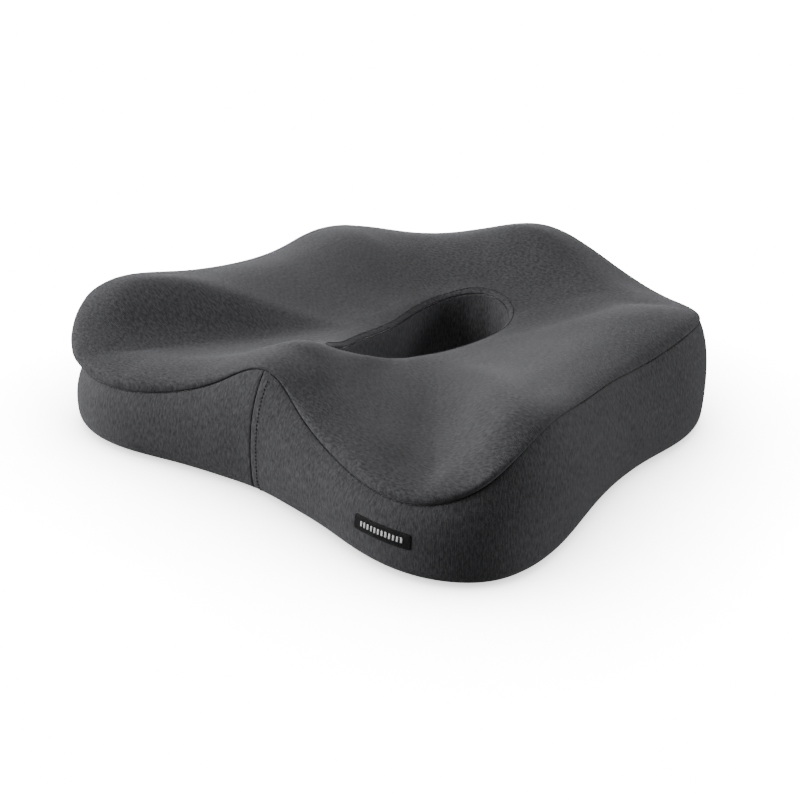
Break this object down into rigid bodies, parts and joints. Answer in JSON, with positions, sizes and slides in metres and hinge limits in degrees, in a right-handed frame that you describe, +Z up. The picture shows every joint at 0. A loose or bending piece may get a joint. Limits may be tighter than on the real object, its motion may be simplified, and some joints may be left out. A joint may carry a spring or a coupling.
{
  "type": "seat cushion",
  "caption": "Contoured foam seat cushion with thigh grooves, a raised front pommel, a keyhole relief opening and a zipped charcoal fabric cover.",
  "frame": {"origin": "middle of the cushion in plan, on the plane it rests on", "axes": "+X to the sitter's right-hand side as the cushion faces the viewer from the front, -Y the front edge with the pommel, +Z up"},
  "size_m": [0.4491, 0.4217, 0.12],
  "materials": {
    "cover_fabric": "charcoal melange knit with a soft sheen",
    "base_fabric": "dark woven non-slip fabric",
    "liner_jersey": "thin white jersey",
    "memory_foam": "moulded open-cell foam, matte",
    "label_satin": "black woven satin",
    "zip_tape": "woven tape",
    "zip_coil": "nylon coil, half matte",
    "zip_metal": "black lacquered zinc"
  },
  "bodies": {
    "cushion": {"foam_core": "memory_foam", "liner_lower": "liner_jersey", "liner_upper": "liner_jersey", "top_panel": "cover_fabric", "opening_sleeve": "cover_fabric", "base_panel": "base_fabric", "border_right": "cover_fabric", "border_left": "cover_fabric", "rear_strip_lower": "cover_fabric", "rear_strip_upper": "cover_fabric", "woven_label": "label_satin", "zip_tape_lower": "zip_tape", "zip_tape_upper": "zip_tape", "zip_coil_lower": "zip_coil", "zip_coil_upper": "zip_coil", "zip_top_stop_lower": "zip_metal", "zip_top_stop_upper": "zip_metal", "zip_bottom_stop": "zip_metal"},
    "zip_slider": {"zip_slider_body": "zip_metal", "zip_slider_crown": "zip_metal"},
    "zip_pull": {"zip_pull_tab": "zip_metal"}
  },
  "joints": [
    {"name": "zip_run", "type": "hinge", "parent": "cushion", "child": "zip_slider", "pos_m": [0, -0.131, 0.045], "axis": [0, 0, 1], "range_deg": [0, 40.1]},
    {"name": "pull_swing", "type": "hinge", "parent": "zip_slider", "child": "zip_pull", "pos_m": [0.11736, 0.19236, 0.045], "axis": [0, 0, -1], "range_deg": [0, 180]}
  ]
}
